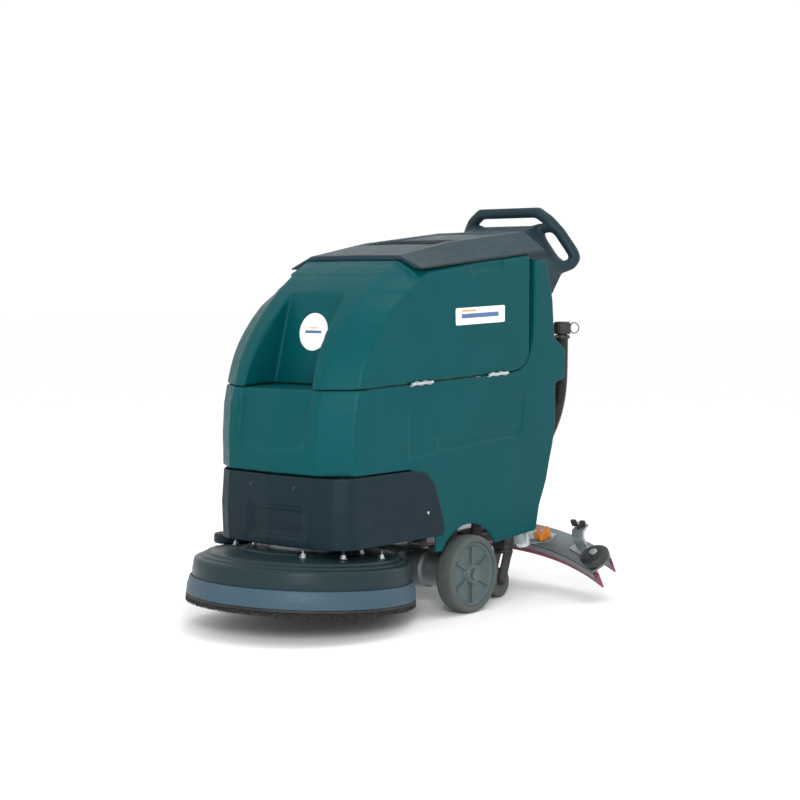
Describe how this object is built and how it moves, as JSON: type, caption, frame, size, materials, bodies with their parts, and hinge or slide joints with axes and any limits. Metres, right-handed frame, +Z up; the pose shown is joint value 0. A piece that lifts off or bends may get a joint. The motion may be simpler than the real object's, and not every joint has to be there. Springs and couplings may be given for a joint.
{
  "type": "walk-behind floor scrubber",
  "caption": "Walk-behind wet and dry floor scrubber with a round brush deck, tipping recovery tank, loop handle and curved rear squeegee.",
  "frame": {"origin": "on the floor under the centre of the whole machine's box", "axes": "+Z up, front of the machine towards -Y, +X to the machine's left"},
  "size_m": [0.846, 1.1996, 1.054],
  "materials": {
    "green_shell": "satin rotomoulded",
    "slate_shell": "satin moulded",
    "lid_shell": "satin moulded",
    "handle_shell": "textured moulded",
    "deck_shell": "semi gloss moulded",
    "skirt_shell": "satin moulded",
    "bristle": "fibres",
    "black_plastic": "moulded",
    "orange_plastic": "moulded",
    "hub_plastic": "moulded",
    "grey_tyre": "solid non-marking",
    "black_rubber": "matt",
    "blade_rubber": "translucent urethane",
    "frame_steel": "black powder coat",
    "zinc_steel": "zinc plated",
    "motor_metal": "silver paint",
    "cast_aluminium": "cast",
    "squeegee_metal": "painted grey",
    "battery_case": "moulded case",
    "clear_tube": "clear"
  },
  "bodies": {
    "chassis": {"chassis_frame": "frame_steel", "batteries": "battery_case", "transaxle_housing": "cast_aluminium", "lower_tank": "green_shell", "front_cover": "slate_shell", "lower_hinge_leaves": "zinc_steel", "hinge_pins": "zinc_steel", "handle_housing": "handle_shell", "control_panel": "black_plastic", "drain_hose": "black_rubber", "hose_clip": "black_plastic", "level_tube": "clear_tube", "level_tube_fittings": "black_plastic", "filter_bowl": "clear_tube", "vacuum_motor": "black_plastic"},
    "left_drive_wheel": {"left_tyre": "grey_tyre", "left_wheel_hub": "hub_plastic", "left_axle": "zinc_steel"},
    "right_drive_wheel": {"right_tyre": "grey_tyre", "right_wheel_hub": "hub_plastic", "right_axle": "zinc_steel"},
    "left_caster": {"left_caster_fork": "frame_steel"},
    "left_caster_roll": {"left_caster_wheel": "grey_tyre"},
    "right_caster": {"right_caster_fork": "frame_steel"},
    "right_caster_roll": {"right_caster_wheel": "grey_tyre"},
    "deck_arm": {"deck_lift_arm": "frame_steel"},
    "deck": {"deck_cover": "deck_shell", "splash_skirt": "skirt_shell", "skirt_brush": "bristle", "brush_motor": "motor_metal", "deck_studs": "zinc_steel"},
    "brush": {"brush_disc": "black_plastic", "brush_bristles": "bristle"},
    "bumper_wheel": {"deck_roller": "hub_plastic"},
    "pedal": {"deck_pedal": "frame_steel"},
    "recovery": {"recovery_tank": "green_shell", "upper_hinge_leaves": "zinc_steel", "float_cage": "black_plastic"},
    "lid": {"tank_lid": "lid_shell", "lid_gasket": "black_rubber"},
    "squeegee_lift_arm": {"squeegee_arm": "frame_steel"},
    "squeegee": {"squeegee_body": "squeegee_metal", "front_blade": "blade_rubber", "rear_blade": "blade_rubber", "blade_strips": "squeegee_metal", "squeegee_brackets": "cast_aluminium", "suction_port": "black_plastic"},
    "left_star": {"left_star_knob": "orange_plastic"},
    "right_star": {"right_star_knob": "orange_plastic"},
    "left_wing": {"left_wing_knob": "black_plastic"},
    "right_wing": {"right_wing_knob": "black_plastic"},
    "left_roller": {"left_squeegee_roller": "black_rubber"},
    "right_roller": {"right_squeegee_roller": "black_rubber"},
    "lift_lever": {"squeegee_lever": "frame_steel"},
    "button_brush": {"brush_button": "black_plastic"},
    "button_water": {"water_button": "black_plastic"},
    "key": {"key_switch": "zinc_steel"},
    "speed_dial": {"speed_knob": "black_plastic"},
    "trigger": {"drive_trigger": "black_plastic"},
    "cap": {"drain_cap": "black_plastic"}
  },
  "joints": [
    {"name": "left_wheel_spin", "type": "hinge", "parent": "chassis", "child": "left_drive_wheel", "pos_m": [0.218, 0.07363, 0.1], "axis": [1, 0, 0], "continuous": true},
    {"name": "right_wheel_spin", "type": "hinge", "parent": "chassis", "child": "right_drive_wheel", "pos_m": [-0.218, 0.07363, 0.1], "axis": [1, 0, 0], "continuous": true},
    {"name": "left_caster_swivel", "type": "hinge", "parent": "chassis", "child": "left_caster", "pos_m": [0.15, 0.31863, 0.122], "axis": [0, 0, 1], "continuous": true},
    {"name": "left_caster_spin", "type": "hinge", "parent": "left_caster", "child": "left_caster_roll", "pos_m": [0.15, 0.29063, 0.04], "axis": [1, 0, 0], "continuous": true},
    {"name": "right_caster_swivel", "type": "hinge", "parent": "chassis", "child": "right_caster", "pos_m": [-0.15, 0.31863, 0.122], "axis": [0, 0, 1], "continuous": true},
    {"name": "right_caster_spin", "type": "hinge", "parent": "right_caster", "child": "right_caster_roll", "pos_m": [-0.15, 0.29063, 0.04], "axis": [1, 0, 0], "continuous": true},
    {"name": "deck_lift", "type": "hinge", "parent": "chassis", "child": "deck_arm", "pos_m": [0, -0.01637, 0.205], "axis": [1, 0, 0], "range_deg": [0, 12.03]},
    {"name": "deck_level", "type": "hinge", "parent": "deck_arm", "child": "deck", "pos_m": [0, -0.25637, 0.212], "axis": [1, 0, 0], "range_deg": [-8.54, 0]},
    {"name": "brush_spin", "type": "hinge", "parent": "deck", "child": "brush", "pos_m": [0, -0.31193, 0.09392], "axis": [0, 0.061, 0.9981], "continuous": true},
    {"name": "bumper_wheel_spin", "type": "hinge", "parent": "deck", "child": "bumper_wheel", "pos_m": [-0.243, -0.31006, 0.18999], "axis": [0, 0.061, 0.9981], "continuous": true},
    {"name": "deck_pedal_swing", "type": "hinge", "parent": "chassis", "child": "pedal", "pos_m": [-0.093, 0.32663, 0.2], "axis": [1, 0, 0], "range_deg": [0, 15.05]},
    {"name": "tank_tip", "type": "hinge", "parent": "chassis", "child": "recovery", "pos_m": [0.23, 0.07363, 0.60473], "axis": [0, 0.9994, 0.034], "range_deg": [0, 80]},
    {"name": "lid_open", "type": "hinge", "parent": "recovery", "child": "lid", "pos_m": [-0.226, 0.07363, 0.89146], "axis": [0, -0.9953, -0.0967], "range_deg": [0, 95]},
    {"name": "squeegee_lift", "type": "hinge", "parent": "chassis", "child": "squeegee_lift_arm", "pos_m": [0, 0.32363, 0.15], "axis": [1, 0, 0], "range_deg": [-32.1, 0]},
    {"name": "squeegee_swing", "type": "hinge", "parent": "squeegee_lift_arm", "child": "squeegee", "pos_m": [0, 0.44989, 0.14067], "axis": [0, -0.5314, 0.8471], "range_deg": [-8, 8]},
    {"name": "left_star_turn", "type": "hinge", "parent": "squeegee", "child": "left_star", "pos_m": [0.165, 0.48178, 0.15005], "axis": [0, -0.5314, 0.8471], "continuous": true},
    {"name": "left_wing_turn", "type": "hinge", "parent": "squeegee", "child": "left_wing", "pos_m": [0.3, 0.46073, 0.19114], "axis": [0, -0.5314, 0.8471], "continuous": true},
    {"name": "left_roller_spin", "type": "hinge", "parent": "squeegee", "child": "left_roller", "pos_m": [0.383, 0.41378, 0.1192], "axis": [0, -0.5314, 0.8471], "continuous": true},
    {"name": "right_star_turn", "type": "hinge", "parent": "squeegee", "child": "right_star", "pos_m": [-0.165, 0.48178, 0.15005], "axis": [0, -0.5314, 0.8471], "continuous": true},
    {"name": "right_wing_turn", "type": "hinge", "parent": "squeegee", "child": "right_wing", "pos_m": [-0.3, 0.46073, 0.19114], "axis": [0, -0.5314, 0.8471], "continuous": true},
    {"name": "right_roller_spin", "type": "hinge", "parent": "squeegee", "child": "right_roller", "pos_m": [-0.383, 0.41378, 0.1192], "axis": [0, -0.5314, 0.8471], "continuous": true},
    {"name": "lift_lever_swing", "type": "hinge", "parent": "chassis", "child": "lift_lever", "pos_m": [0, 0.48763, 0.742], "axis": [1, 0, 0], "range_deg": [0, 60.05]},
    {"name": "brush_button_press", "type": "slide", "parent": "chassis", "child": "button_brush", "axis": [0, -0.9673, -0.2538], "range_m": [0, 0.003], "stiffness_N_per_m": 400, "springref_m": -0.0005},
    {"name": "water_button_press", "type": "slide", "parent": "chassis", "child": "button_water", "axis": [0, -0.9673, -0.2538], "range_m": [0, 0.003], "stiffness_N_per_m": 400, "springref_m": -0.0005},
    {"name": "key_turn", "type": "hinge", "parent": "chassis", "child": "key", "pos_m": [0.066, 0.5702, 0.93215], "axis": [0, 0.9673, 0.2538], "range_deg": [0, 90]},
    {"name": "speed_dial_turn", "type": "hinge", "parent": "chassis", "child": "speed_dial", "pos_m": [0.014, 0.5697, 0.93409], "axis": [0, 0.9673, 0.2538], "range_deg": [-135, 135]},
    {"name": "drive_trigger_pull", "type": "hinge", "parent": "chassis", "child": "trigger", "pos_m": [0, 0.55563, 0.983], "axis": [1, 0, 0], "range_deg": [0, 10], "stiffness_Nm_per_rad": 1.5, "springref_deg": -1.72},
    {"name": "drain_cap_lift", "type": "slide", "parent": "chassis", "child": "cap", "axis": [0, 0, 1], "range_m": [0, 0.03]}
  ],
  "couplings": [
    {"joint": "deck_level", "follows": "deck_lift", "ratio": -0.70893},
    {"joint": "deck_pedal_swing", "follows": "deck_lift", "ratio": 1.2474},
    {"joint": "lift_lever_swing", "follows": "squeegee_lift", "ratio": -1.8692}
  ]
}
